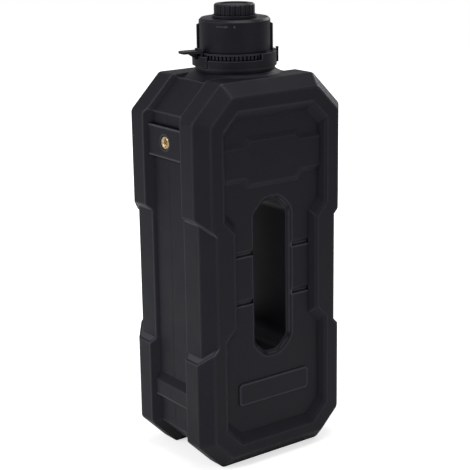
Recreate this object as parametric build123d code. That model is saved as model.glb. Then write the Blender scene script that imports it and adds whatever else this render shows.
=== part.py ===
from build123d import *
import os
from math import atan, atan2, cos, pi, radians, sin, sqrt, tan

# Fuel can of about five litres: a flat blow-moulded can with cut corners, a waist and a hand slot,
# a channel round its edge, and a screw cap that a sprung latch holds by a ring of ratchet teeth.
# Millimetres. X is the width, the front face looks along -Y, Z is up. The origin is the middle of
# the base, under the axis of the neck.

# Can outline, seen from the front
CAN_HALF_WIDTH = 88.0
CAN_HEIGHT = 380.0
CAN_TOP_CUT = 33.5
CAN_BASE_CUT = 28.5
CAN_CORNER = 6.0
WALL = 3.4

# Depth of the can: half depth at the face, and where the bevel round the face meets the edge strip
FACE_Y = 63.9
STRIP_Y = 50.7
FACE_IN_SIDE = 11.7
FACE_IN_TOP = 12.0
FACE_IN_BASE = 13.5
FACE_TOP_CUT = 25.5
FACE_BASE_CUT = 20.5
FACE_ROUND = 3.0
STRIP_ROUND = 2.4

# Waist on both sides, with 45 degree ends
WAIST_DEPTH = 5.0
WAIST_LOW = 113.5
WAIST_HIGH = 255.5

# Channel round the edge, between the front and the back strip
CHANNEL_FLOOR_Y = 24.0
CHANNEL_FLARE = 0.91
CHANNEL_DEPTH = 8.0
CHANNEL_TOP_DEPTH = 3.0
CHANNEL_RUN_OUT = 6.0

# Pads across the side channels
PAD_DEPTH = 4.0
INSERT_Z = 321.0
INSERT_PAD_HALF = 15.0
BAND_LOW = 60.0
BAND_HIGH = 76.0
BAND_LEDGE = 8.0
BAND_EASE = 1.0

# Recess in the front and the back face
RECESS_DEPTH = 7.5
RECESS_HALF_WIDTH = 61.5
RECESS_TOP_MARGIN = 26.5
RECESS_BASE_MARGIN = 25.5
RECESS_CUT = 17.0
RECESS_WAIST_IN = 12.0
RECESS_WAIST_LOW = 134.5
RECESS_WAIST_HIGH = 252.0
RECESS_SIDE_DRAFT = 5.0
RECESS_END_DRAFT = 8.0
RECESS_LIP = 1.6

# Raised panel across the recess, above the hand slot
PANEL_RAISE = 2.0
PANEL_BORDER = 5.0
PANEL_LOW = 285.0
PANEL_HIGH = 323.5
PANEL_LOW_STEP = 7.0
PANEL_HIGH_STEP = 5.0
PANEL_STEP_X = 31.0

# Bare plaque near the foot of the recess
PLAQUE_HALF_WIDTH = 43.0
PLAQUE_LOW = 61.7
PLAQUE_HIGH = 84.5
PLAQUE_RAISE = 1.6
PLAQUE_CORNER = 4.0

# Hand slot through the can, and the clip grooves beside it
SLOT_HALF_WIDTH = 19.5
SLOT_LOW = 110.0
SLOT_HIGH = 263.0
SLOT_CUT = 12.0
SLOT_CORNER = 11.0
SLOT_LIP = 4.5
GROOVE_Z = (165.0, 213.5)
GROOVE_DEPTH = 2.2
GROOVE_SLOPE = 5.0
GROOVE_STEEP = 1.2

# Neck
BOSS_OUT = 10.8
BOSS_KNEE_OUT = 2.0
BOSS_KNEE = 1.0
BOSS_HEIGHT = 3.4
FOOT_IN = 1.6
COLLAR_SEAT = 7.0
NECK_WALL = 3.2
THREAD_GAP = 1.4
NECK_HEIGHT = 46.2

# Locking collar, heights above its seat
COLLAR_RADIUS = 40.2
COLLAR_WALL = 6.1
COLLAR_HEIGHT = 8.0
COLLAR_FIT = 0.1
GUARD_HEIGHT = 13.8
GUARD_GAP = 0.6
GUARD_WALL = 2.1
GUARD_HALF_ANGLE = 78.5
RIB_ANGLE = 323.5
RIB_LOW = 2.2
RIB_HEIGHT = 16.7
RIB_THICK = 3.0
RIB_OUT = 1.7

# Latch lever, in a window of the collar
LATCH_ANGLE = 172.0
LATCH_HALF_WIDTH = 14.4
LATCH_GAP = 0.3
LATCH_FOOT_GAP = 1.2
LATCH_PROUD = 1.4
LATCH_HEIGHT = 11.3
LATCH_BACK_GAP = 1.5
LATCH_TOP_GAP = 0.5
LATCH_STEP = 2.0
WINDOW_WEB = 0.8
PIVOT_INSET = 4.9
PIVOT_HEIGHT = 2.6
PIVOT_RADIUS = 1.0
PIVOT_LENGTH = 1.2
PIVOT_ROOT = 1.0
PIVOT_FIT = 0.05
PAWL_GAP = 0.5
PAWL_LOW = 0.4
PAWL_THICK = 1.6
TAB_REACH = 18.3
TAB_WIDTH = 13.0
TAB_THICK = 2.4
TAB_RISE = 16.7
TAB_CORNER = 3.0
WEB_THICK = 2.6
WEB_DROP = 7.4
WEB_TIP_GAP = 6.0
NUB_HEIGHT = 1.6
NUB_THICK = 2.0
NUB_SIDE_GAP = 2.0

# Main cap
CAP_WALL = 1.9
CAP_TOP_THICK = 4.0
CAP_SHOULDER = 2.0
CAP_FLANGE_OUT = 0.5
CAP_FLANGE_THICK = 1.5
FIN_ANGLES = (143.5, 323.5)
FIN_OUT = 2.3
FIN_THICK = 2.2
FIN_TOP_GAP = 5.4
FIN_LEAN = 1.2
CAP_LIFT_GAP = 0.6
TEETH = 60
TOOTH_HEIGHT = 4.0
TOOTH_DEPTH = 1.5
TOOTH_STEP = 1.2
TOOTH_FLANK = 0.08
TOOTH_LAND = 0.5
CAP_SEAL_THICK = 2.0
CAP_SEAL_GAP = 0.15
CAP_SEAL_IN = 1.2

# Spigot and pour cap
SPIGOT_RADIUS = 14.6
SPIGOT_WALL = 2.8
SPIGOT_HEIGHT = 9.0
POUR_THREAD_GAP = 1.8
POUR_WALL = 3.2
POUR_FLANGE_OUT = 1.7
POUR_FLANGE_THICK = 2.0
POUR_BASE_GAP = 0.5
POUR_TOP_THICK = 2.4
POUR_RIM = 6.1
POUR_DISH_DEPTH = 0.8
POUR_CHAMFER = 1.2
POUR_FLUTES = 24
FLUTE_DEPTH = 0.7
FLUTE_RIDGE = 0.5
FLUTE_FLANK = 0.12
POUR_SEAL_THICK = 1.5
POUR_SEAL_GAP = 0.15
SEAL_CLEAR = 0.5

# Brass inserts, blind, with their axis along X
INSERT_RADIUS = 6.0
INSERT_LENGTH = 10.0
INSERT_BORE = 3.4
INSERT_FIT = 0.05
INSERT_INSET = 0.3
INSERT_RIM = 1.2
INSERT_RIM_DEPTH = 0.8
INSERT_BOSS_WALL = 3.0

DIAG = sqrt(2.0)
REACH = 30.0
OVERLAP = 1.0

top_z = CAN_HEIGHT
seat_z = CAN_HEIGHT + COLLAR_SEAT
neck_top = CAN_HEIGHT + NECK_HEIGHT
cap_low = seat_z + COLLAR_HEIGHT + CAP_LIFT_GAP
seal_z = neck_top + CAP_SEAL_GAP
cap_top = seal_z + CAP_SEAL_THICK + CAP_TOP_THICK
spigot_top = cap_top + SPIGOT_HEIGHT
pour_seal_z = spigot_top + POUR_SEAL_GAP
pour_top = pour_seal_z + POUR_SEAL_THICK + POUR_TOP_THICK

flange_r = COLLAR_RADIUS - GUARD_WALL - GUARD_GAP
tooth_r = flange_r - CAP_FLANGE_OUT
cap_r = tooth_r - TOOTH_DEPTH - TOOTH_STEP
cap_bore = cap_r - CAP_WALL
neck_r = cap_bore - THREAD_GAP
neck_bore = neck_r - NECK_WALL
neck_base_r = COLLAR_RADIUS - COLLAR_WALL - COLLAR_FIT
foot_r = COLLAR_RADIUS - FOOT_IN
boss_r = COLLAR_RADIUS + BOSS_OUT
boss_knee_r = COLLAR_RADIUS + BOSS_KNEE_OUT
spigot_bore = SPIGOT_RADIUS - SPIGOT_WALL
pour_bore = SPIGOT_RADIUS + POUR_THREAD_GAP
pour_r = pour_bore + POUR_WALL


def upright(points, y, corner=0.0):
    """Face in the plane at depth y with the given X, Z corners, rounded unless corner is 0."""
    face = make_face(Polyline(*points, close=True))
    if corner:
        face = fillet(face.vertices(), corner)
    return Plane.XZ.offset(-y) * face


def cut_corners(half_width, low, high, low_cut, high_cut):
    """Corners of an upright rectangle with 45 degree cuts, anticlockwise."""
    right = [
        (half_width - low_cut, low),
        (half_width, low + low_cut),
        (half_width, high - high_cut),
        (half_width - high_cut, high),
    ]
    return right + [(-x, z) for x, z in reversed(right)]


def can_outline(inset):
    """The can's widest outline, drawn in by a distance."""
    less = inset * (2.0 - DIAG)
    return cut_corners(
        CAN_HALF_WIDTH - inset, inset, top_z - inset, CAN_BASE_CUT - less, CAN_TOP_CUT - less
    )


def face_outline(inset):
    """Outline of the flat face inside the bevel, drawn in by a distance."""
    less = inset * (2.0 - DIAG)
    return cut_corners(
        CAN_HALF_WIDTH - FACE_IN_SIDE - inset,
        FACE_IN_BASE + inset,
        top_z - FACE_IN_TOP - inset,
        FACE_BASE_CUT - less,
        FACE_TOP_CUT - less,
    )


def edges_at(form, y):
    """The closed loop of edges that lies in the plane at depth y."""
    return [
        e
        for e in form.edges()
        if abs(e.bounding_box().min.Y - y) < 0.02 and abs(e.bounding_box().max.Y - y) < 0.02
    ]


def narrowed(points, amount):
    """Outline with both sides moved in."""
    return [(x - amount if x > 0 else x + amount, z) for x, z in points]


def shell_block(inset, narrow):
    """Solid of the whole can without its waist: an edge strip between two bevelled faces."""
    bevel = atan2(FACE_IN_SIDE, FACE_Y - STRIP_Y)
    strip_y = STRIP_Y - inset * tan(bevel / 2)
    face_y = FACE_Y - inset
    wide = narrowed(can_outline(inset), narrow)
    front = narrowed(face_outline(inset * tan(radians(45) - bevel / 2)), narrow)
    corner = 0.0 if inset else CAN_CORNER
    sections = [
        upright(front, -face_y, corner),
        upright(wide, -strip_y, corner),
        upright(wide, strip_y, corner),
        upright(front, face_y, corner),
    ]
    form = loft(sections, ruled=True)
    if inset == 0:
        form = fillet(edges_at(form, -strip_y) + edges_at(form, strip_y), STRIP_ROUND)
        form = fillet(edges_at(form, -face_y) + edges_at(form, face_y), FACE_ROUND)
    return form


def waist_blocks(inset):
    """Blocks over both waists, with 45 degree ends, that run right through the depth."""
    low = WAIST_LOW - inset + inset * DIAG
    high = WAIST_HIGH + inset - inset * DIAG
    edge = CAN_HALF_WIDTH - inset
    points = [
        (edge + REACH, low - REACH),
        (edge - REACH, low + REACH),
        (edge - REACH, high - REACH),
        (edge + REACH, high + REACH),
    ]
    block = extrude(Plane.XZ * make_face(Polyline(*points, close=True)), FACE_Y + REACH, both=True)
    return block + mirror(block, Plane.YZ)


def channel_ring(inset):
    """Everything outside the drafted core of the can, between the two edge strips."""
    floor_y = CHANNEL_FLOOR_Y + inset * tan((pi / 2 - atan(CHANNEL_FLARE)) / 2)
    less = (CHANNEL_DEPTH + inset) * (2.0 - DIAG)
    depth = CHANNEL_DEPTH + inset

    def core(grow):
        side = CAN_HALF_WIDTH - depth + grow
        add = grow * (2.0 - DIAG)
        return cut_corners(
            side,
            depth - grow,
            top_z - CHANNEL_TOP_DEPTH - inset + grow,
            CAN_BASE_CUT - less + add,
            CAN_TOP_CUT - less + add,
        )

    grow = CHANNEL_DEPTH + CHANNEL_RUN_OUT
    far_y = floor_y + grow * CHANNEL_FLARE
    sections = [
        upright(core(grow), -far_y),
        upright(core(0), -floor_y),
        upright(core(0), floor_y),
        upright(core(grow), far_y),
    ]
    outside = Pos(0, 0, top_z / 2) * Box(
        2 * (CAN_HALF_WIDTH + REACH), 2 * far_y - OVERLAP, top_z + 2 * REACH
    )
    return outside - loft(sections, ruled=True)


def recess_outline(out, side_in, end_in):
    """Outline of the face recess, grown by out, with sides and ends drawn in by their draft."""
    side = RECESS_HALF_WIDTH + out - side_in
    waist = side - RECESS_WAIST_IN
    step = (out - end_in) * DIAG
    low_step = RECESS_WAIST_LOW + side_in + step - out
    high_step = RECESS_WAIST_HIGH - side_in - step + out
    low = RECESS_BASE_MARGIN - out + end_in
    high = top_z - RECESS_TOP_MARGIN + out - end_in
    diag = RECESS_HALF_WIDTH + top_z - RECESS_TOP_MARGIN - RECESS_CUT + (out - end_in) * DIAG
    low_diag = RECESS_HALF_WIDTH - RECESS_BASE_MARGIN - RECESS_CUT + (out - end_in) * DIAG
    right = [
        (low_diag + low, low),
        (side, side - low_diag),
        (side, low_step),
        (waist, low_step + RECESS_WAIST_IN),
        (waist, high_step - RECESS_WAIST_IN),
        (side, high_step),
        (side, diag - side),
        (diag - high, high),
    ]
    return right + [(-x, z) for x, z in reversed(right)]


def face_recess(inset):
    """Drafted tool for the recess in the front face, flared at the skin's lip."""
    floor_y = FACE_Y - RECESS_DEPTH - inset
    lip = 0.0 if inset else RECESS_LIP

    def section(y, flare):
        left = 1.0 - (y - floor_y) / RECESS_DEPTH
        outline = recess_outline(inset + flare, RECESS_SIDE_DRAFT * left, RECESS_END_DRAFT * left)
        return upright(outline, -y)

    sections = [section(floor_y, 0.0), section(FACE_Y - lip, 0.0)]
    sections.append(section(FACE_Y + OVERLAP, lip + OVERLAP if lip else 0.0))
    return loft(sections, ruled=True)


def slot_block(inset):
    """Octagonal block through the can for the hand slot, flared at the skin's lips."""
    floor_y = FACE_Y - RECESS_DEPTH
    lip = 0.0 if inset else SLOT_LIP

    def section(y, flare):
        out = inset + flare
        points = cut_corners(
            SLOT_HALF_WIDTH + out,
            SLOT_LOW - out,
            SLOT_HIGH + out,
            SLOT_CUT + out * (2.0 - DIAG),
            SLOT_CUT + out * (2.0 - DIAG),
        )
        return upright(points, y, 0.0 if inset else SLOT_CORNER + flare)

    if inset:
        return extrude(section(0.0, 0.0), FACE_Y + REACH, both=True)
    end_y = floor_y + OVERLAP
    sections = [
        section(-end_y, lip + OVERLAP),
        section(lip - floor_y, 0.0),
        section(floor_y - lip, 0.0),
        section(end_y, lip + OVERLAP),
    ]
    return loft(sections, ruled=True)


def front_and_back(form):
    """The form with its mirror image at the back face."""
    return [form, mirror(form, Plane.XZ)]


def can_form(inset):
    """Skin of the can at inset 0, and the hollow inside it at the wall's thickness."""
    form = shell_block(inset, 0.0)
    form -= waist_blocks(inset) - shell_block(inset, WAIST_DEPTH)
    form -= channel_ring(inset)
    for tool in front_and_back(face_recess(inset)):
        form -= tool
    return form - slot_block(inset)


def raised_panel():
    """Panel raised from the recess floor, with sloped borders, stepped wider at its middle."""
    floor_y = FACE_Y - RECESS_DEPTH
    end = RECESS_HALF_WIDTH

    def outline(inset):
        right = [
            (PANEL_STEP_X - inset, PANEL_LOW - PANEL_LOW_STEP + inset),
            (PANEL_STEP_X + PANEL_LOW_STEP - inset, PANEL_LOW + inset),
            (end, PANEL_LOW + inset),
            (end, PANEL_HIGH - inset),
            (PANEL_STEP_X + PANEL_HIGH_STEP - inset, PANEL_HIGH - inset),
            (PANEL_STEP_X - inset, PANEL_HIGH + PANEL_HIGH_STEP - inset),
        ]
        return right + [(-x, z) for x, z in reversed(right)]

    def at(y, inset):
        return Plane.XZ.offset(y) * make_face(Polyline(*outline(inset), close=True))

    slope = PANEL_BORDER / PANEL_RAISE
    sections = [at(floor_y - OVERLAP, -slope * OVERLAP), at(floor_y + PANEL_RAISE, PANEL_BORDER)]
    return loft(sections, ruled=True)


def plaque():
    """Bare plaque raised from the recess floor."""
    face = RectangleRounded(2 * PLAQUE_HALF_WIDTH, PLAQUE_HIGH - PLAQUE_LOW, PLAQUE_CORNER)
    floor_y = FACE_Y - RECESS_DEPTH
    place = Plane.XZ.offset(floor_y - OVERLAP) * Pos(0, (PLAQUE_LOW + PLAQUE_HIGH) / 2)
    block = extrude(place * face, OVERLAP + PLAQUE_RAISE)
    return chamfer(edges_at(block, -floor_y - PLAQUE_RAISE), PLAQUE_RAISE / 2)


def clip_grooves():
    """V grooves in the recess floor on both sides of the slot, each under a gentle slope."""
    floor_y = -(FACE_Y - RECESS_DEPTH)
    low_x = SLOT_HALF_WIDTH + SLOT_LIP
    high_x = RECESS_HALF_WIDTH - RECESS_WAIST_IN - RECESS_SIDE_DRAFT
    over = OVERLAP / GROOVE_DEPTH
    grooves = []
    for z in GROOVE_Z:
        points = [
            (floor_y - OVERLAP, z + GROOVE_SLOPE * (1 + over)),
            (floor_y + GROOVE_DEPTH, z),
            (floor_y - OVERLAP, z - GROOVE_STEEP * (1 + over)),
        ]
        profile = Plane.YZ.offset(low_x) * make_face(Polyline(*points, close=True))
        groove = extrude(profile, high_x - low_x)
        grooves += [groove, mirror(groove, Plane.YZ)]
    return grooves


def side_pads():
    """Insert pad and cross band in both side channels, and the boss behind each insert."""
    outer = CAN_HALF_WIDTH - PAD_DEPTH
    inner = CAN_HALF_WIDTH - CHANNEL_DEPTH - WALL / 2
    deep = CAN_HALF_WIDTH - CHANNEL_DEPTH
    pad_y = CHANNEL_FLOOR_Y + CHANNEL_FLARE * (CHANNEL_DEPTH - PAD_DEPTH) + OVERLAP
    insert_pad = [
        (inner, INSERT_Z - INSERT_PAD_HALF),
        (outer, INSERT_Z - INSERT_PAD_HALF),
        (outer, INSERT_Z + INSERT_PAD_HALF),
        (inner, INSERT_Z + INSERT_PAD_HALF),
    ]
    band = [
        (inner, BAND_LOW - BAND_EASE),
        (deep, BAND_LOW - BAND_EASE),
        (outer, BAND_LOW),
        (outer, BAND_HIGH),
        (deep, BAND_HIGH + BAND_LEDGE),
        (inner, BAND_HIGH + BAND_LEDGE),
    ]
    pads = []
    for points in (insert_pad, band):
        face = Plane.XZ * make_face(Polyline(*points, close=True))
        pads.append(extrude(face, pad_y, both=True))
    length = INSERT_LENGTH + INSERT_BOSS_WALL
    boss = Plane.YZ.offset(outer - length) * Pos(0, INSERT_Z)
    pads.append(extrude(boss * Circle(INSERT_RADIUS + INSERT_BOSS_WALL), length - OVERLAP))
    return [piece for pad in pads for piece in (pad, mirror(pad, Plane.YZ))]


def insert_pockets():
    """Blind pockets for the brass inserts, each with a shallow ring round its mouth."""
    outer = CAN_HALF_WIDTH - PAD_DEPTH
    pocket = Plane.YZ.offset(outer - INSERT_LENGTH) * Pos(0, INSERT_Z)
    tool = extrude(pocket * Circle(INSERT_RADIUS + INSERT_FIT), INSERT_LENGTH + OVERLAP)
    ring = Plane.YZ.offset(outer - INSERT_RIM_DEPTH) * Pos(0, INSERT_Z)
    tool += extrude(ring * Circle(INSERT_RADIUS + INSERT_RIM), INSERT_RIM_DEPTH + OVERLAP)
    return [tool, mirror(tool, Plane.YZ)]


def turned(points):
    """Solid turned round the neck's axis from radius and height pairs."""
    return revolve(Plane.XZ * make_face(Polyline(*points, close=True)), Axis.Z)


def neck():
    """Sloped boss on the can's top, the foot under the collar, and the neck."""
    low = top_z - CHANNEL_TOP_DEPTH - WALL / 2
    points = [
        (neck_bore - OVERLAP, low),
        (boss_r, low),
        (boss_r, top_z - CHANNEL_TOP_DEPTH - WALL / 8),
        (boss_knee_r, top_z + BOSS_KNEE),
        (foot_r, top_z + BOSS_HEIGHT),
        (foot_r, seat_z),
        (neck_base_r, seat_z),
        (neck_base_r, seat_z + COLLAR_HEIGHT),
        (neck_r, seat_z + COLLAR_HEIGHT),
        (neck_r, neck_top),
        (neck_bore - OVERLAP, neck_top),
    ]
    return turned(points)


def make_body():
    """The blow-moulded can with its neck, hollow, with inserts' bosses in its sides."""
    skin = can_form(0.0)
    for piece in front_and_back(raised_panel()) + front_and_back(plaque()) + side_pads()[:4]:
        skin += piece
    for groove in clip_grooves():
        for tool in front_and_back(groove):
            skin -= tool
    skin += neck()
    hollow = can_form(WALL)
    bore = Pos(0, 0, top_z - 2 * WALL) * Cylinder(
        neck_bore, NECK_HEIGHT + 3 * WALL, align=(Align.CENTER, Align.CENTER, Align.MIN)
    )
    body = skin - hollow - bore
    for boss in side_pads()[4:]:
        body += boss
    for tool in insert_pockets():
        body -= tool
    return body


def make_insert(side):
    """Threaded brass insert; side is 1 on the right and -1 on the left."""
    outer = CAN_HALF_WIDTH - PAD_DEPTH
    base = Plane.YZ.offset(outer - INSERT_LENGTH) * Pos(0, INSERT_Z)
    ring = Circle(INSERT_RADIUS) - Circle(INSERT_BORE)
    tube = extrude(base * ring, INSERT_LENGTH - INSERT_INSET)
    return tube if side > 0 else mirror(tube, Plane.YZ)


def make_collar():
    """Ring round the neck's foot with a guard wall opposite the latch and a window for the lever."""
    inner = neck_base_r + COLLAR_FIT
    ring = turned(
        [
            (inner, seat_z),
            (COLLAR_RADIUS, seat_z),
            (COLLAR_RADIUS, seat_z + COLLAR_HEIGHT),
            (inner, seat_z + COLLAR_HEIGHT),
        ]
    )
    guard_in = flange_r + GUARD_GAP
    guard = revolve(
        Plane.XZ
        * Pos((guard_in + COLLAR_RADIUS) / 2, seat_z + GUARD_HEIGHT / 2)
        * Rectangle(COLLAR_RADIUS - guard_in, GUARD_HEIGHT),
        Axis.Z,
        2 * GUARD_HALF_ANGLE,
    )
    guard = Rot(0, 0, LATCH_ANGLE + 180.0 - GUARD_HALF_ANGLE) * guard
    rib_in = (guard_in + COLLAR_RADIUS) / 2
    rib_out = COLLAR_RADIUS + RIB_OUT
    rib = Pos((rib_in + rib_out) / 2, 0, seat_z + (RIB_LOW + RIB_HEIGHT) / 2) * Box(
        rib_out - rib_in, RIB_THICK, RIB_HEIGHT - RIB_LOW
    )
    ring += guard + Rot(0, 0, RIB_ANGLE) * rib
    window_in = inner + WINDOW_WEB
    half = LATCH_HALF_WIDTH + LATCH_GAP
    window = Pos(COLLAR_RADIUS, 0, seat_z + COLLAR_HEIGHT) * Box(
        2 * COLLAR_RADIUS, 2 * half, 4 * COLLAR_HEIGHT
    )
    keep = Cylinder(window_in, 8 * CAN_HEIGHT)
    window -= keep
    socket = Pos(COLLAR_RADIUS - PIVOT_INSET, 0, seat_z + PIVOT_HEIGHT) * (
        Rot(90, 0, 0)
        * Cylinder(PIVOT_RADIUS + PIVOT_FIT, 2 * (half + PIVOT_LENGTH + LATCH_GAP))
    )
    socket -= keep
    return ring - Rot(0, 0, LATCH_ANGLE) * (window + socket)


def lever_block():
    """Lever in the collar's window: flat inside, and curved outside a little proud of the collar."""
    low = seat_z + LATCH_FOOT_GAP
    top = seat_z + LATCH_HEIGHT
    back_low = neck_base_r + LATCH_BACK_GAP
    back_high = flange_r + LATCH_TOP_GAP
    far = COLLAR_RADIUS + REACH
    points = [
        (back_low, low),
        (far, low),
        (far, top),
        (back_high, top),
        (back_high, cap_low - LATCH_STEP),
        (back_low, cap_low - 2 * LATCH_STEP),
    ]
    profile = Plane.XZ * make_face(Polyline(*points, close=True))
    block = extrude(profile, LATCH_HALF_WIDTH, both=True)
    return block & Pos(0, 0, seat_z) * Cylinder(COLLAR_RADIUS + LATCH_PROUD, 4 * LATCH_HEIGHT)


def finger_tab():
    """Tab that the finger presses, on a riser, with a web under it and a nub on top."""
    back = flange_r + LATCH_TOP_GAP
    tip = COLLAR_RADIUS + TAB_REACH
    top = seat_z + TAB_RISE
    plate = Pos((back + tip) / 2, 0) * Rectangle(tip - back, TAB_WIDTH)
    plate = fillet(plate.vertices().sort_by(Axis.X)[2:], TAB_CORNER)
    tab = extrude(Pos(0, 0, top - TAB_THICK) * plate, TAB_THICK)
    foot = seat_z + LATCH_HEIGHT - OVERLAP
    riser_top = top - TAB_THICK / 2
    riser = Pos((back + COLLAR_RADIUS) / 2, 0, (foot + riser_top) / 2) * Box(
        COLLAR_RADIUS - back, TAB_WIDTH, riser_top - foot
    )
    points = [
        (back + OVERLAP, top - TAB_THICK / 2),
        (tip - WEB_TIP_GAP, top - TAB_THICK + OVERLAP / 2),
        (COLLAR_RADIUS, top - TAB_THICK - WEB_DROP),
        (back + OVERLAP, top - TAB_THICK - WEB_DROP),
    ]
    web = extrude(Plane.XZ * make_face(Polyline(*points, close=True)), WEB_THICK / 2, both=True)
    nub = Pos(back + NUB_THICK, 0, top + (NUB_HEIGHT - OVERLAP) / 2) * Box(
        NUB_THICK, TAB_WIDTH - 2 * NUB_SIDE_GAP, NUB_HEIGHT + OVERLAP
    )
    return tab + [riser, web, nub]


def trunnions():
    """The two pins that the lever swings on."""
    width = 2 * LATCH_HALF_WIDTH
    at = Pos(COLLAR_RADIUS - PIVOT_INSET, 0, seat_z + PIVOT_HEIGHT)
    rod = Rot(90, 0, 0) * Cylinder(PIVOT_RADIUS, width + 2 * PIVOT_LENGTH)
    return at * (rod - Box(4 * PIVOT_RADIUS, width - 2 * PIVOT_ROOT, 4 * PIVOT_RADIUS))


def make_latch():
    """Lever with its trunnions, pawl and finger tab, made facing +X and then turned."""
    lever = lever_block()
    pawl_in = flange_r + PAWL_GAP
    pawl = Pos((pawl_in + COLLAR_RADIUS - OVERLAP) / 2, 0, cap_low + PAWL_LOW + PAWL_THICK / 2) * Box(
        COLLAR_RADIUS - OVERLAP - pawl_in, TAB_WIDTH, PAWL_THICK
    )
    return Rot(0, 0, LATCH_ANGLE) * (lever + [pawl, finger_tab(), trunnions()])


def tooth_ring():
    """Ring of ratchet teeth, each with one steep and one long flank."""
    root = tooth_r - TOOTH_DEPTH
    pitch = 360.0 / TEETH
    points = []
    for i in range(TEETH):
        for share, radius in (
            (0.0, root),
            (TOOTH_FLANK, tooth_r),
            (TOOTH_LAND, tooth_r),
            (TOOTH_LAND + TOOTH_FLANK, root),
        ):
            angle = radians(pitch * (i + share))
            points.append((radius * cos(angle), radius * sin(angle)))
    face = make_face(Polyline(*points, close=True)) - Circle(cap_bore)
    return extrude(Pos(0, 0, cap_low) * face, TOOTH_HEIGHT + CAP_FLANGE_THICK / 2)


def make_main_cap():
    """Screw cap with ratchet teeth at its foot, two fins on its side and the spigot on top."""
    flange_z = cap_low + TOOTH_HEIGHT
    shell = [
        (spigot_bore, seal_z + CAP_SEAL_THICK),
        (cap_bore, seal_z + CAP_SEAL_THICK),
        (cap_bore, flange_z),
        (flange_r, flange_z),
        (flange_r, flange_z + CAP_FLANGE_THICK),
        (cap_r, flange_z + CAP_FLANGE_THICK),
        (cap_r, cap_top - CAP_SHOULDER),
        (cap_r - CAP_SHOULDER, cap_top),
        (SPIGOT_RADIUS, cap_top),
        (SPIGOT_RADIUS, spigot_top),
        (spigot_bore, spigot_top),
    ]
    cap = turned(shell)
    fin_low = flange_z + CAP_FLANGE_THICK / 2
    fin_top = cap_top - FIN_TOP_GAP
    profile = [
        (cap_r - OVERLAP, fin_low),
        (cap_r + FIN_OUT, fin_low),
        (cap_r + FIN_OUT, fin_top - FIN_LEAN),
        (cap_r, fin_top),
        (cap_r - OVERLAP, fin_top),
    ]
    face = Plane.XZ * make_face(Polyline(*profile, close=True))
    fin = extrude(face, FIN_THICK / 2, both=True)
    return cap + [Rot(0, 0, angle) * fin for angle in FIN_ANGLES] + tooth_ring()


def make_cap_seal():
    """Flat ring between the neck's rim and the main cap."""
    ring = Circle(cap_bore - SEAL_CLEAR) - Circle(neck_bore + CAP_SEAL_IN)
    return extrude(Pos(0, 0, seal_z) * ring, CAP_SEAL_THICK)


def fluted_skirt(low):
    """Side of the pour cap with upright grip flutes, and a chamfer round its top."""
    pitch = 360.0 / POUR_FLUTES
    points = []
    for i in range(POUR_FLUTES):
        for share, radius in (
            (0.0, pour_r),
            (FLUTE_RIDGE, pour_r),
            (FLUTE_RIDGE + FLUTE_FLANK, pour_r - FLUTE_DEPTH),
            (1.0 - FLUTE_FLANK, pour_r - FLUTE_DEPTH),
        ):
            angle = radians(pitch * (i + share))
            points.append((radius * cos(angle), radius * sin(angle)))
    skirt = extrude(Pos(0, 0, low) * make_face(Polyline(*points, close=True)), pour_top - low)
    far = pour_r + OVERLAP
    trimmed = [
        (0, low),
        (far, low),
        (far, pour_top - POUR_CHAMFER - OVERLAP),
        (pour_r - POUR_CHAMFER, pour_top),
        (0, pour_top),
    ]
    return skirt & turned(trimmed)


def make_pour_cap():
    """Small screw cap with a foot flange and grip flutes."""
    low = cap_top + POUR_BASE_GAP
    under = pour_seal_z + POUR_SEAL_THICK
    cap = Pos(0, 0, low) * Cylinder(
        pour_r + POUR_FLANGE_OUT,
        POUR_FLANGE_THICK,
        align=(Align.CENTER, Align.CENTER, Align.MIN),
    )
    cap += fluted_skirt(low + POUR_FLANGE_THICK / 2)
    foot = (Align.CENTER, Align.CENTER, Align.MIN)
    cap -= Pos(0, 0, pour_top - POUR_DISH_DEPTH) * Cylinder(pour_r - POUR_RIM, OVERLAP, align=foot)
    return cap - Pos(0, 0, low - OVERLAP) * Cylinder(pour_bore, under - low + OVERLAP, align=foot)


def make_pour_seal():
    """Flat disc in the pour cap that closes the spigot."""
    return extrude(Pos(0, 0, pour_seal_z) * Circle(pour_bore - SEAL_CLEAR), POUR_SEAL_THICK)


def main():
    os.makedirs("parts", exist_ok=True)
    nodes = {
        "body": make_body(),
        "insert_left": make_insert(-1),
        "insert_right": make_insert(1),
        "locking_collar": make_collar(),
        "latch_lever": make_latch(),
        "main_cap": make_main_cap(),
        "main_cap_seal": make_cap_seal(),
        "pour_cap": make_pour_cap(),
        "pour_cap_seal": make_pour_seal(),
    }
    for name, shape in nodes.items():
        export_step(shape, f"parts/{name}.step")


main()
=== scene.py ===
import logging
from dataclasses import dataclass, field
from enum import Enum
from math import pi, radians

import bmesh
import bpy
import numpy as np
from mathutils import Matrix, Vector


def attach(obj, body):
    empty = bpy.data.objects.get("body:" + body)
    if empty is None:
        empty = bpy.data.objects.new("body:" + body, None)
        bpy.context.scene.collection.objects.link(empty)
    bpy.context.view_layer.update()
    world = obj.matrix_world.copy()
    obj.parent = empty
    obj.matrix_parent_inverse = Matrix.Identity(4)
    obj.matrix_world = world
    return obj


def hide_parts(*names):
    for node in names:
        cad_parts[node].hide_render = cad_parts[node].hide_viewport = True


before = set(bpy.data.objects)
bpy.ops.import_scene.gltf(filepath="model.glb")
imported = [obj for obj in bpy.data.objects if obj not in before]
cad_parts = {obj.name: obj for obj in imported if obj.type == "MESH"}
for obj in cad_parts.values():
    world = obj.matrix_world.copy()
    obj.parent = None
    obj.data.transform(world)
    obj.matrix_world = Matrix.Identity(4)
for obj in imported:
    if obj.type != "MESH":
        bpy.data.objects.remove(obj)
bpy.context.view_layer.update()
log = logging.getLogger("fuel_can")

# Sizes are metres in the CAD frame: X right, Y back, Z up, origin under the neck's axis.

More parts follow.
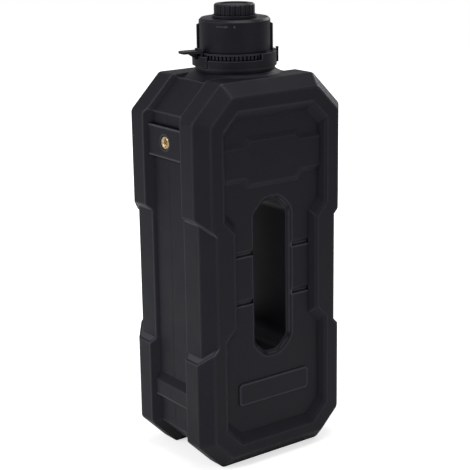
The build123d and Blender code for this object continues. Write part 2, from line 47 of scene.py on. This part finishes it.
OCCLUSION_SAMPLES = 8
MERGE_DISTANCE = 1e-6
CLOUD_SPAN = (0.3, 0.7)


class Grain(Enum):
    """How coarse a moulded surface is, as the width of one grain in metres."""

    FINE = 0.00045
    SATIN = 0.0007


class Facing(Enum):
    """Side of a cylinder that a thread stands on."""

    OUTWARD = 1.0
    INWARD = -1.0


class Nodes:
    """Short way to add shader nodes and links to a material."""

    def __init__(self, name: str) -> None:
        """Makes an empty node material called name."""
        self.material = bpy.data.materials.new(name)
        self.material.use_nodes = True
        self.tree = self.material.node_tree
        self.tree.nodes.clear()
        self.output = self.tree.nodes.new("ShaderNodeOutputMaterial")

    def add(self, kind: str, **settings: object) -> bpy.types.Node:
        """Adds a node.

        Args:
            kind: the node's type without its ShaderNode prefix.
            settings: properties of the node, or values of its inputs by name.

        Returns:
            The new node.
        """
        node = self.tree.nodes.new("ShaderNode" + kind)
        for key, value in settings.items():
            if hasattr(node, key):
                setattr(node, key, value)
            else:
                node.inputs[key.replace("_", " ")].default_value = value
        return node

    def link(self, source: bpy.types.NodeSocket, target: bpy.types.NodeSocket) -> None:
        """Joins an output socket to an input socket."""
        self.tree.links.new(source, target)

    def noise(self, scale: float, detail: float, roughness: float = 0.5) -> bpy.types.NodeSocket:
        """Noise on object coordinates.

        Args:
            scale: cycles per metre.
            detail: octaves.
            roughness: how strong the finer octaves are.

        Returns:
            The noise value's socket.
        """
        noise = self.add("TexNoise", Scale=scale, Detail=detail, Roughness=roughness)
        self.link(self.add("TexCoord").outputs["Object"], noise.inputs["Vector"])
        return noise.outputs["Fac"]

    def ramp(self, source: bpy.types.NodeSocket, low: float, high: float,
             start: tuple[float, ...], end: tuple[float, ...]) -> bpy.types.NodeSocket:
        """Colour ramp between two colours.

        Args:
            source: the value that drives it.
            low: position of the first colour.
            high: position of the second colour.
            start: first colour, as red, green and blue.
            end: second colour, as red, green and blue.

        Returns:
            The colour's socket.
        """
        ramp = self.add("ValToRGB")
        for element, place, colour in zip(ramp.color_ramp.elements, (low, high), (start, end)):
            element.position = place
            element.color = (*colour, 1.0)
        self.link(source, ramp.inputs["Fac"])
        return ramp.outputs["Color"]

    def spread(self, source: bpy.types.NodeSocket, span: tuple[float, float],
               onto: tuple[float, float]) -> bpy.types.NodeSocket:
        """Maps a value from one span onto another.

        Args:
            source: the value.
            span: where it starts and ends.
            onto: what it becomes at those two places.

        Returns:
            The mapped value's socket.
        """
        node = self.add("MapRange", From_Min=span[0], From_Max=span[1], To_Min=onto[0],
                        To_Max=onto[1])
        self.link(source, node.inputs["Value"])
        return node.outputs["Result"]

    def bump(self, height: bpy.types.NodeSocket, distance: float,
             under: bpy.types.NodeSocket | None = None) -> bpy.types.NodeSocket:
        """Bump on top of another bump.

        Args:
            height: the height's socket, from 0 to 1.
            distance: height in metres that 1 stands for.
            under: the normal it builds on, if there is one.

        Returns:
            The new normal's socket.
        """
        node = self.add("Bump", Strength=1.0, Distance=distance)
        self.link(height, node.inputs["Height"])
        if under is not None:
            self.link(under, node.inputs["Normal"])
        return node.outputs["Normal"]

    def finish(self, surface: bpy.types.NodeSocket) -> bpy.types.Material:
        """Joins the surface to the output and returns the material."""
        self.link(surface, self.output.inputs["Surface"])
        return self.material


@dataclass(frozen=True)
class MouldedPlastic:
    """Near-black polyethylene: fine grain, slight waviness and faint scuffs, with painted
    highlights on convex edges and painted shade in creases.
    """

    name: str
    colour: tuple[float, float, float] = (0.0072, 0.0075, 0.0122)
    mottle: tuple[float, float, float] = (0.0098, 0.01, 0.0155)
    scuff: tuple[float, float, float] = (0.021, 0.021, 0.027)
    # Colour of the painted highlight on convex edges.
    painted_edge_highlight: tuple[float, float, float] = (0.075, 0.075, 0.09)
    # Colour of the painted shade in creases.
    painted_crease_shade: tuple[float, float, float] = (0.0015, 0.0015, 0.002)
    roughness: tuple[float, float] = (0.38, 0.5)
    grain: Grain = Grain.SATIN
    grain_height: float = 0.00003
    cloud_scale: float = 34.0
    scuff_scale: float = 420.0
    wave_scale: float = 26.0
    wave_height: float = 0.0002
    specular: float = 0.22
    crease_specular: float = 0.02
    edge_reach: float = 0.0022
    edge_share: float = 0.8
    crease_reach: float = 0.005
    crease_span: tuple[float, float] = (0.45, 0.9)
    crease_share: float = 0.85
    seam_half_width: float = 0.0
    seam_height: float = 0.00025

    def material(self) -> bpy.types.Material:
        """Builds the shader.

        Returns:
            Plastic with mottled colour, scuffs, rubbed edges, uneven roughness and layered bump.
        """
        n = Nodes(self.name)
        shader = n.add("BsdfPrincipled")
        clouds = n.noise(self.cloud_scale, 5.0, 0.6)
        open_sky = n.add("AmbientOcclusion", samples=OCCLUSION_SAMPLES,
                         Distance=self.crease_reach).outputs["AO"]
        n.link(self.tint(n, clouds, open_sky), shader.inputs["Base Color"])
        n.link(n.spread(clouds, CLOUD_SPAN, self.roughness), shader.inputs["Roughness"])
        # Painted shade: specular is turned down in creases.
        n.link(n.spread(open_sky, self.crease_span, (self.crease_specular, self.specular)),
               shader.inputs["Specular IOR Level"])
        normal = n.bump(n.noise(self.wave_scale, 2.0, 0.4), self.wave_height)
        if self.seam_half_width:
            normal = n.bump(self.seam(n), self.seam_height, normal)
        normal = n.bump(n.noise(1.0 / self.grain.value, 3.0, 0.6), self.grain_height, normal)
        n.link(normal, shader.inputs["Normal"])
        return n.finish(shader.outputs["BSDF"])

    def tint(self, n: Nodes, clouds: bpy.types.NodeSocket,
             open_sky: bpy.types.NodeSocket) -> bpy.types.NodeSocket:
        """Colour of the plastic.

        Args:
            n: the material's nodes.
            clouds: the soft patches that mottle it.
            open_sky: 1 in the open, less in creases.

        Returns:
            The colour's socket: mottled, paler in fine scuffs, palest along convex edges where a
            highlight is painted, and darkened in creases with painted shade.
        """
        base = n.ramp(clouds, 0.3, 0.75, self.colour, self.mottle)
        scuffs = n.ramp(n.noise(self.scuff_scale, 4.0, 0.65), 0.6, 0.8, (0, 0, 0), (1, 1, 1))
        worn = self.blend(n, scuffs, base, self.scuff)
        # Painted highlight: convex edges are lightened in the base colour.
        painted_edge_highlight = self.blend(n, self.edges(n), worn, self.painted_edge_highlight)
        # Painted shade: creases are darkened in the base colour.
        dark = n.spread(open_sky, self.crease_span[::-1], (0.0, self.crease_share))
        return self.blend(n, dark, painted_edge_highlight, self.painted_crease_shade)

    @staticmethod
    def blend(n: Nodes, share: bpy.types.NodeSocket, base: bpy.types.NodeSocket,
              over: tuple[float, float, float]) -> bpy.types.NodeSocket:
        """Lays a plain colour over another.

        Args:
            n: the material's nodes.
            share: how much of the new colour shows, from 0 to 1.
            base: the colour underneath.
            over: the new colour.

        Returns:
            The blended colour's socket.
        """
        mix = n.add("Mix", data_type="RGBA")
        n.link(share, mix.inputs["Factor"])
        n.link(base, mix.inputs["A"])
        mix.inputs["B"].default_value = (*over, 1.0)
        return mix.outputs["Result"]

    def edges(self, n: Nodes) -> bpy.types.NodeSocket:
        """Finds convex edges, where rays that start inwards soon come out again; this masks the
        painted edge highlight.

        Args:
            n: the material's nodes.

        Returns:
            Socket that is 0 on flat ground and rises to the edge share on a sharp convex edge.
        """
        inner = n.add("AmbientOcclusion", samples=OCCLUSION_SAMPLES, inside=True,
                      only_local=True, Distance=self.edge_reach)
        return n.spread(inner.outputs["AO"], (0.98, 0.78), (0.0, self.edge_share))

    def seam(self, n: Nodes) -> bpy.types.NodeSocket:
        """Parting line of the mould's halves.

        Args:
            n: the material's nodes.

        Returns:
            Socket that is 1 in the middle plane and falls to 0 over the seam's half width.
        """
        split = n.add("SeparateXYZ")
        n.link(n.add("TexCoord").outputs["Object"], split.inputs["Vector"])
        off = n.add("Math", operation="ABSOLUTE")
        n.link(split.outputs["Y"], off.inputs[0])
        return n.spread(off.outputs["Value"], (0.0, self.seam_half_width), (1.0, 0.0))


@dataclass(frozen=True)
class TurnedBrass:
    """Machined brass with fine turning marks and slight tarnish."""

    name: str
    colour: tuple[float, float, float] = (0.95, 0.76, 0.45)
    tarnish: tuple[float, float, float] = (0.4, 0.22, 0.07)
    roughness: tuple[float, float] = (0.22, 0.42)
    tarnish_scale: float = 700.0
    tool_mark_scale: float = 1600.0
    tool_mark_height: float = 0.000012
    pit_scale: float = 5000.0
    pit_height: float = 0.00001

    def material(self) -> bpy.types.Material:
        """Builds the shader.

        Returns:
            Metal with cloudy tarnish and rings of tool marks about the insert's axis, along X.
        """
        n = Nodes(self.name)
        shader = n.add("BsdfPrincipled", Metallic=1.0)
        clouds = n.noise(self.tarnish_scale, 4.0)
        n.link(n.ramp(clouds, 0.42, 0.78, self.colour, self.tarnish), shader.inputs["Base Color"])
        n.link(n.spread(clouds, CLOUD_SPAN, self.roughness), shader.inputs["Roughness"])
        rings = n.add("TexWave", wave_type="RINGS", rings_direction="X",
                      Scale=self.tool_mark_scale, Distortion=0.6, Detail=1.0)
        n.link(n.add("TexCoord").outputs["Object"], rings.inputs["Vector"])
        normal = n.bump(rings.outputs["Fac"], self.tool_mark_height)
        normal = n.bump(n.noise(self.pit_scale, 2.0), self.pit_height, normal)
        n.link(normal, shader.inputs["Normal"])
        return n.finish(shader.outputs["BSDF"])


@dataclass(frozen=True)
class SealRubber:
    """Soft black rubber with a dull, slightly powdery face."""

    name: str
    colour: tuple[float, float, float] = (0.02, 0.02, 0.021)
    powder: tuple[float, float, float] = (0.045, 0.045, 0.046)
    roughness: tuple[float, float] = (0.62, 0.8)
    powder_scale: float = 300.0
    grain_scale: float = 2600.0
    grain_height: float = 0.00002

    def material(self) -> bpy.types.Material:
        """Builds the shader.

        Returns:
            Dull rubber with powdery patches and a fine bump.
        """
        n = Nodes(self.name)
        shader = n.add("BsdfPrincipled", Specular_IOR_Level=0.3)
        clouds = n.noise(self.powder_scale, 4.0)
        n.link(n.ramp(clouds, 0.4, 0.8, self.colour, self.powder), shader.inputs["Base Color"])
        n.link(n.spread(clouds, CLOUD_SPAN, self.roughness), shader.inputs["Roughness"])
        grain = n.bump(n.noise(self.grain_scale, 2.0), self.grain_height)
        n.link(grain, shader.inputs["Normal"])
        return n.finish(shader.outputs["BSDF"])


@dataclass(frozen=True)
class PaleSweep:
    """White studio floor that keeps the can's shadow and glows white to the camera further out."""

    name: str = "pale_sweep"
    glow: tuple[float, float] = (0.62, 1.05)
    reach: tuple[float, float] = (0.14, 0.5)
    shade: tuple[float, float, float] = (0.9, 0.9, 0.9)
    white: tuple[float, float, float] = (0.92, 0.92, 0.92)

    def material(self) -> bpy.types.Material:
        """Builds the shader.

        Returns:
            Diffuse white plus a glow that only the camera sees and that grows with distance.
        """
        n = Nodes(self.name)
        shader = n.add("BsdfPrincipled", Roughness=0.9, Specular_IOR_Level=0.1)
        tint = n.ramp(n.noise(3.0, 2.0), *CLOUD_SPAN, self.shade, self.white)
        n.link(tint, shader.inputs["Base Color"])
        distance = n.add("VectorMath", operation="LENGTH")
        n.link(n.add("TexCoord").outputs["Object"], distance.inputs[0])
        grow = n.spread(distance.outputs["Value"], self.reach, self.glow)
        shown = n.add("Math", operation="MULTIPLY")
        n.link(grow, shown.inputs[0])
        n.link(n.add("LightPath").outputs["Is Camera Ray"], shown.inputs[1])
        glow = n.add("Emission")
        n.link(shown.outputs["Value"], glow.inputs["Strength"])
        both = n.add("AddShader")
        n.link(shader.outputs["BSDF"], both.inputs[0])
        n.link(glow.outputs["Emission"], both.inputs[1])
        return n.finish(both.outputs["Shader"])


def grid_faces(rows: int, columns: int, wrap: bool) -> np.ndarray:
    """Quads that join a grid of points row by row.

    Args:
        rows: points along the path.
        columns: points round the profile.
        wrap: whether the last column joins the first.

    Returns:
        Array of quads, four vertex numbers each.
    """
    last = columns if wrap else columns - 1
    i, j = np.meshgrid(np.arange(rows - 1), np.arange(last), indexing="ij")
    k = (j + 1) % columns
    quads = np.stack([i * columns + j, i * columns + k, (i + 1) * columns + k,
                      (i + 1) * columns + j], -1)
    return quads.reshape(-1, 4)


def mesh_piece(name: str, points: np.ndarray, faces: list[list[int]],
               material: bpy.types.Material) -> bpy.types.Object:
    """Makes a closed piece whose faces look outwards.

    Args:
        name: the piece's name.
        points: n by 3 array of points in metres.
        faces: vertex numbers of each face.
        material: the piece's finish.

    Returns:
        The object, smooth shaded.
    """
    mesh = bpy.data.meshes.new(name)
    mesh.from_pydata(points.tolist(), [], faces)
    work = bmesh.new()
    work.from_mesh(mesh)
    bmesh.ops.remove_doubles(work, verts=work.verts, dist=MERGE_DISTANCE)
    bmesh.ops.recalc_face_normals(work, faces=work.faces)
    for face in work.faces:
        face.smooth = True
    work.to_mesh(mesh)
    work.free()
    mesh.materials.append(material)
    piece = bpy.data.objects.new(name, mesh)
    bpy.context.scene.collection.objects.link(piece)
    return piece


def crisp(piece: bpy.types.Object, width: float, crease: float) -> bpy.types.Object:
    """Adds small rounded edges that keep the flat faces flat.

    Args:
        piece: the object.
        width: width of the rounding in metres.
        crease: edges that turn by more degrees than this are rounded.

    Returns:
        The same object.
    """
    bevel = piece.modifiers.new("edge_round", "BEVEL")
    bevel.width = width
    bevel.segments = 3
    bevel.limit_method = "ANGLE"
    bevel.angle_limit = radians(crease)
    bevel.miter_outer = "MITER_ARC"
    evened = piece.modifiers.new("evened_faces", "WEIGHTED_NORMAL")
    evened.weight = 100
    evened.keep_sharp = False
    return piece


@dataclass(frozen=True)
class SoftCopy:
    """Copy of a CAD node with rounded edges, which stands in the node's place."""

    node: str
    body: str
    width: float
    crease: float = 19.0
    flat: float = 0.6

    def build(self, material: bpy.types.Material) -> bpy.types.Object:
        """Merges the copy's doubles, joins its flat facets and rounds its edges.

        Args:
            material: the finish of the copy and of the node.

        Returns:
            The copy, with a live Bevel modifier.
        """
        dress(self.node, material)
        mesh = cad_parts[self.node].data.copy()
        mesh.name = self.node + "_moulded"
        work = bmesh.new()
        work.from_mesh(mesh)
        bmesh.ops.remove_doubles(work, verts=work.verts, dist=2.0 * MERGE_DISTANCE)
        bmesh.ops.dissolve_limit(work, angle_limit=radians(self.flat), verts=work.verts,
                                 edges=work.edges, delimit={"NORMAL"})
        for face in work.faces:
            face.smooth = True
        work.to_mesh(mesh)
        work.free()
        piece = bpy.data.objects.new(mesh.name, mesh)
        bpy.context.scene.collection.objects.link(piece)
        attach(crisp(piece, self.width, self.crease), self.body)
        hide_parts(self.node)
        return piece


@dataclass(frozen=True)
class ScrewThread:
    """Rounded thread ridge on a cylinder about Z."""

    name: str
    root: float
    height: float
    pitch: float
    low: float
    turns: float
    facing: Facing = Facing.OUTWARD
    width_share: float = 0.46
    start: float = 0.0
    sink: float = 0.0002
    steps_per_turn: int = 72

    def surface(self) -> tuple[np.ndarray, list[list[int]]]:
        """Carries a rounded trapezoid along a helix, fading to nothing at both ends.

        A point of the path at angle a has height low + pitch * a / (2 pi). The profile stands out
        from the root radius by the thread's height times a fade that rises over a sixth of a turn
        at both ends.

        Returns:
            The ridge's points, and its faces with both ends closed.
        """
        count = int(self.turns * self.steps_per_turn) + 1
        angle = np.linspace(0.0, 2.0 * pi * self.turns, count)
        fade = np.clip(np.minimum(angle, angle[-1] - angle) / (pi / 3.0), 0.02, 1.0)[:, None]
        half = self.pitch * self.width_share / 2.0
        across = np.array([-1.0, -0.86, -0.5, -0.2, 0.2, 0.5, 0.86, 1.0, 1.0, -1.0]) * half
        out = np.array([0.0, 0.35, 0.92, 1.0, 1.0, 0.92, 0.35, 0.0]) * self.height
        out = np.append(out, [-self.sink, -self.sink])
        radius = self.root + self.facing.value * out * np.where(out > 0, fade, 1.0)
        rise = self.low + self.pitch * angle[:, None] / (2.0 * pi) + across * (0.4 + 0.6 * fade)
        turn = angle[:, None] + self.start
        points = np.stack([radius * np.cos(turn), radius * np.sin(turn), rise], -1)
        columns = len(across)
        faces = grid_faces(count, columns, True).tolist()
        faces.append(list(range(columns))[::-1])
        faces.append([(count - 1) * columns + j for j in range(columns)])
        return points.reshape(-1, 3), faces

    def build(self, material: bpy.types.Material, body: str) -> bpy.types.Object:
        """Makes the ridge.

        Args:
            material: its finish.
            body: the body that carries it.

        Returns:
            The ridge as one closed piece.
        """
        points, faces = self.surface()
        piece = mesh_piece(self.name, points, faces, material)
        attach(piece, body)
        return piece


def turned_about_x(points: np.ndarray, side: float, front: float, height: float) -> np.ndarray:
    """Lays a shape made about Z along the X axis, with its Z as the depth below the can's side.

    Args:
        points: n by 3 array about Z.
        side: 1 for the right side of the can, -1 for the left.
        front: distance of the front face from the can's middle plane.
        height: height of the axis.

    Returns:
        The moved points.
    """
    depth = points[:, 2]
    return np.stack([side * (front - depth), points[:, 1], height + points[:, 0]], -1)


@dataclass(frozen=True)
class BrassInsert:
    """Turned insert with a countersunk, threaded bore in the side of the can."""

    side: float
    node: str
    front: float = 0.0837
    height: float = 0.321
    radius: float = 0.006
    length: float = 0.0097
    bore: float = 0.00395
    minor: float = 0.0034
    pitch: float = 0.00125
    thread_start: float = 0.0007
    thread_turns: float = 6.6
    edge_round: float = 0.0001
    edge_crease: float = 25.0
    columns: int = 96

    def profile(self) -> np.ndarray:
        """Closed profile as radius and depth: countersink, faced rim with a groove, chamfer."""
        return np.array([
            (self.bore, 0.0006), (self.bore + 0.00055, 0.0), (0.0050, 0.0), (0.00505, 0.00012),
            (0.00535, 0.00012), (0.0054, 0.0), (self.radius - 0.0003, 0.0), (self.radius, 0.0003),
            (self.radius, self.length - 0.0004), (self.radius - 0.0004, self.length),
            (self.bore, self.length),
        ])

    def build(self, material: bpy.types.Material) -> list[bpy.types.Object]:
        """Turns the profile about the insert's axis and adds the thread inside.

        A profile point at radius r and depth d becomes (r cos a, r sin a, d) at each angle a.

        Args:
            material: the brass.

        Returns:
            The sleeve and its thread.
        """
        outline = self.profile()
        angle = np.linspace(0.0, 2.0 * pi, self.columns, endpoint=False)
        ring = np.stack([np.cos(angle), np.sin(angle)], -1)
        flat = outline[:, None, 0, None] * ring[None]
        depth = np.broadcast_to(outline[:, None, 1, None], flat.shape[:2] + (1,))
        points = np.concatenate([flat, depth], -1).reshape(-1, 3)
        faces = grid_faces(len(outline) + 1, self.columns, True) % len(points)
        thread = ScrewThread("thread", self.bore, self.bore - self.minor, self.pitch,
                             self.thread_start, self.thread_turns, Facing.INWARD, 0.8,
                             steps_per_turn=48)
        pieces = []
        for tag, (body_points, body_faces) in (("sleeve", (points, faces.tolist())),
                                               ("thread", thread.surface())):
            placed = turned_about_x(body_points, self.side, self.front, self.height)
            piece = mesh_piece(f"{self.node}_{tag}", placed, body_faces, material)
            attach(piece, "can")
            pieces.append(piece)
        crisp(pieces[0], self.edge_round, self.edge_crease)
        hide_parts(self.node)
        return pieces


@dataclass(frozen=True)
class TurnMark:
    """Raised arrow and small ring on the cap's side; angles in degrees about the cap's axis."""

    radius: float = 0.0343
    height: float = 0.0265
    base: float = 0.4
    rise: float = 0.00022
    sink: float = 0.0001
    depth: float = 0.0004
    tail: float = -157.0
    tip: float = -136.0
    dot: float = -126.75
    dot_radius: float = 0.0011

    def arrow(self) -> tuple[np.ndarray, list[list[int]]]:
        """Raises a bar that widens into a head and narrows to its tip.

        A point at share u along the arrow and v across it lies at angle tail + (tip - tail) * u
        and height z + v * w(u), where w is the bar's half width, then the head's, then nothing.
        It stands out by rise * (1 - v^8), and by less than nothing at the rim, so the rim is sunk.

        Returns:
            The arrow's points and faces.
        """
        u = np.linspace(0.0, 1.0, 61)
        v = np.linspace(-1.0, 1.0, 13)
        width = np.interp(u, [0.0, 0.02, 0.7, 0.71, 1.0],
                          [0.0002, 0.00042, 0.00042, 0.0013, 0.00004])
        angle = np.radians(self.tail + (self.tip - self.tail) * u)[:, None]
        ends = np.clip(np.minimum(u, 1.0 - u) / 0.02, 0.0, 1.0)[:, None]
        out = (self.rise + self.sink) * (1.0 - v[None, :] ** 8) * ends - self.sink
        radius = self.radius + out
        z = self.base + self.height + v[None, :] * width[:, None]
        points = np.stack([radius * np.cos(angle), radius * np.sin(angle), z], -1)
        return self.closed(points)

    def spot(self) -> tuple[np.ndarray, list[list[int]]]:
        """Raises a ring with a dimple: height sin(pi s) (s + 0.2) at share s from middle to rim.

        Returns:
            The ring's points and faces.
        """
        s = np.linspace(0.0, 1.0, 13)[:, None]
        round_ = np.linspace(0.0, 2.0 * pi, 41)[None, :]
        across = self.dot_radius * s * np.cos(round_)
        z = self.base + self.height + self.dot_radius * s * np.sin(round_)
        angle = radians(self.dot) + across / self.radius
        dome = np.sin(pi * s) * (s + 0.2)
        radius = self.radius - 0.5 * self.sink + (self.rise + self.sink) * dome
        radius = np.broadcast_to(radius, angle.shape)
        points = np.stack([radius * np.cos(angle), radius * np.sin(angle), z], -1)
        return self.closed(points)

    def closed(self, front: np.ndarray) -> tuple[np.ndarray, list[list[int]]]:
        """Backs a sheet with its own copy, nearer the axis, and joins the two round their rims.

        Args:
            front: rows by columns by 3 array.

        Returns:
            Points and faces of the closed shell.
        """
        back = front.copy()
        back[..., :2] *= (self.radius - self.depth) / self.radius
        rows, columns = front.shape[:2]
        sheets = np.concatenate([front, back[:, ::-1]], axis=1)
        faces = grid_faces(rows, 2 * columns, True).tolist()
        first = [[j, 2 * columns - 1 - j, 2 * columns - 2 - j, j + 1] for j in range(columns - 1)]
        start = (rows - 1) * 2 * columns
        faces += first + [[start + k for k in quad[::-1]] for quad in first]
        return sheets.reshape(-1, 3), faces

    def build(self, material: bpy.types.Material, body: str) -> list[bpy.types.Object]:
        """Makes both marks.

        Args:
            material: their finish.
            body: the body that carries them.

        Returns:
            The arrow and the ring.
        """
        pieces = []
        for tag, (points, faces) in (("arrow", self.arrow()), ("ring", self.spot())):
            piece = mesh_piece("turn_mark_" + tag, points, faces, material)
            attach(piece, body)
            pieces.append(piece)
        return pieces


def dress(node: str, material: bpy.types.Material) -> None:
    """Gives a CAD node its material."""
    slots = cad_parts[node].data.materials
    slots.clear()
    slots.append(material)


@dataclass(frozen=True)
class Lamp:
    """Soft square lamp that looks at the middle of the can."""

    name: str
    place: tuple[float, float, float]
    size: float
    power: float

    def build(self, aim: Vector) -> bpy.types.Object:
        """Hangs the lamp.

        Args:
            aim: the point it looks at.

        Returns:
            The lamp.
        """
        data = bpy.data.lights.new(self.name, "AREA")
        data.shape = "SQUARE"
        data.size = self.size
        data.energy = self.power
        lamp = bpy.data.objects.new(self.name, data)
        lamp.location = self.place
        lamp.rotation_mode = "QUATERNION"
        lamp.rotation_quaternion = (aim - Vector(self.place)).to_track_quat("-Z", "Y")
        bpy.context.scene.collection.objects.link(lamp)
        return lamp


@dataclass
class Studio:
    """White sweep, soft lights and the camera of the photograph."""

    lens: float = 104.007
    place: tuple[float, float, float] = (-0.778514, -1.046756, 0.577420)
    right: tuple[float, float, float] = (0.80127989, -0.59811212, -0.0145752)
    up: tuple[float, float, float] = (0.17073576, 0.20524743, 0.96370265)
    back: tuple[float, float, float] = (-0.57341071, -0.77468406, 0.26657976)
    shift: tuple[float, float] = (0.000905, -0.000623)
    lamps: tuple[Lamp, ...] = (
        Lamp("key_left", (-1.7, 0.15, 1.2), 0.9, 15.0),
        Lamp("fill_front", (0.4, -2.0, 1.0), 1.2, 4.5),
        Lamp("top", (0.1, -0.2, 1.8), 1.0, 9.0),
        Lamp("rim_right", (1.6, 0.5, 1.0), 0.8, 6.0),
    )
    aim: tuple[float, float, float] = (0.0, 0.0, 0.21)
    sensor: float = 36.0
    clip: tuple[float, float] = (0.05, 20.0)
    ambient: float = 0.3
    floor_radii: tuple[float, ...] = (0.02, 0.4, 1.2, 3.0)
    floor_height: float = -0.0002
    floor_columns: int = 96

    def camera(self) -> None:
        """Sets the camera up from its axes, with the photograph's framing."""
        data = bpy.data.cameras.new("photo_camera")
        data.lens = self.lens
        data.sensor_width = self.sensor
        data.shift_x, data.shift_y = self.shift
        data.clip_start, data.clip_end = self.clip
        camera = bpy.data.objects.new("photo_camera", data)
        turn = Matrix((self.right, self.up, self.back)).transposed()
        camera.matrix_world = Matrix.Translation(self.place) @ turn.to_4x4()
        bpy.context.scene.collection.objects.link(camera)
        bpy.context.scene.camera = camera

    def world(self) -> None:
        """White to the camera and plain grey as a light source."""
        world = bpy.data.worlds.new("studio_world")
        bpy.context.scene.world = world
        world.use_nodes = True
        tree = world.node_tree
        tree.nodes.clear()
        output = tree.nodes.new("ShaderNodeOutputWorld")
        mix = tree.nodes.new("ShaderNodeMixShader")
        path = tree.nodes.new("ShaderNodeLightPath")
        tree.links.new(path.outputs["Is Camera Ray"], mix.inputs["Fac"])
        for socket, strength in ((1, self.ambient), (2, 1.0)):
            background = tree.nodes.new("ShaderNodeBackground")
            background.inputs["Color"].default_value = (1, 1, 1, 1)
            background.inputs["Strength"].default_value = strength
            tree.links.new(background.outputs["Background"], mix.inputs[socket])
        tree.links.new(mix.outputs["Shader"], output.inputs["Surface"])

    def floor(self) -> None:
        """Lays a round floor: rings of points at growing radii, just under the can's feet."""
        count = self.floor_columns
        ring = np.linspace(0.0, 2.0 * pi, count + 1)[:-1]
        radii = np.array(self.floor_radii)[:, None]
        x, y = (radii * np.cos(ring)).reshape(-1), (radii * np.sin(ring)).reshape(-1)
        points = np.stack([x, y, np.full_like(x, self.floor_height)], -1)
        faces = grid_faces(len(radii), count, True)[:, ::-1].tolist() + [list(range(count))]
        mesh = bpy.data.meshes.new("floor")
        mesh.from_pydata(points.tolist(), [], faces)
        mesh.materials.append(PaleSweep().material())
        floor = bpy.data.objects.new("floor", mesh)
        bpy.context.scene.collection.objects.link(floor)

    def build(self) -> list[str]:
        """Makes the whole studio.

        Returns:
            Names of the lamps.
        """
        bpy.context.scene.view_settings.view_transform = "Standard"
        self.world()
        self.camera()
        self.floor()
        return [lamp.build(Vector(self.aim)).name for lamp in self.lamps]


@dataclass
class Can:
    """The blow-moulded can with its neck thread, and the brass inserts."""

    edge_round: float = 0.0012
    neck_thread: ScrewThread = ScrewThread("neck_thread", 0.031, 0.0008, 0.006, 0.4045, 2.75)

    def build(self) -> list[str]:
        """Stands the soft can in the CAD body's place and adds its thread and inserts.

        Returns:
            Names of the pieces it made.
        """
        plastic = MouldedPlastic("can_plastic", seam_half_width=0.0004).material()
        made = [SoftCopy("body", "can", self.edge_round).build(plastic)]
        made.append(self.neck_thread.build(plastic, "can"))
        brass = TurnedBrass("insert_brass").material()
        for side, node in ((-1.0, "insert_left"), (1.0, "insert_right")):
            dress(node, brass)
            made += BrassInsert(side, node).build(brass)
        return [piece.name for piece in made]


@dataclass
class Closure:
    """Collar, latch, both caps with their threads and marks, and the seals."""

    copies: tuple[SoftCopy, ...] = (
        SoftCopy("locking_collar", "can", 0.0004, 24.0),
        SoftCopy("latch_lever", "latch", 0.0005, 24.0),
        SoftCopy("main_cap", "main_cap", 0.0003, 24.0),
        SoftCopy("pour_cap", "pour_cap", 0.0003, 20.0),
    )
    threads: tuple[tuple[ScrewThread, str], ...] = (
        (ScrewThread("main_cap_thread", 0.0324, 0.0005, 0.006, 0.4045, 2.5, Facing.INWARD,
                     start=pi), "main_cap"),
        (ScrewThread("spigot_thread", 0.0146, 0.001, 0.003, 0.4342, 1.9), "main_cap"),
        (ScrewThread("pour_cap_thread", 0.0164, 0.0006, 0.003, 0.4346, 1.8, Facing.INWARD,
                     start=pi), "pour_cap"),
    )
    plastic: MouldedPlastic = field(
        default_factory=lambda: MouldedPlastic(
            "fitting_plastic", grain=Grain.FINE, roughness=(0.3, 0.42), wave_height=0.00006,
            edge_reach=0.0006, crease_reach=0.002,
        )
    )

    def build(self) -> list[str]:
        """Stands rounded copies in the closure's place and adds threads, marks and seals.

        Returns:
            Names of the pieces it made.
        """
        plastic = self.plastic.material()
        made = [copy.build(plastic) for copy in self.copies]
        made += [thread.build(plastic, body) for thread, body in self.threads]
        made += TurnMark().build(plastic, "main_cap")
        rubber = SealRubber("seal_rubber").material()
        for node in ("main_cap_seal", "pour_cap_seal"):
            dress(node, rubber)
        return [piece.name for piece in made]


def main() -> None:
    """Builds the studio and the can, piece by piece."""
    logging.basicConfig(level=logging.INFO, format="%(message)s")
    for part in (Studio(), Can(), Closure()):
        for name in part.build():
            log.info("%s: %s", type(part).__name__, name)


if __name__ == "__main__":
    main()
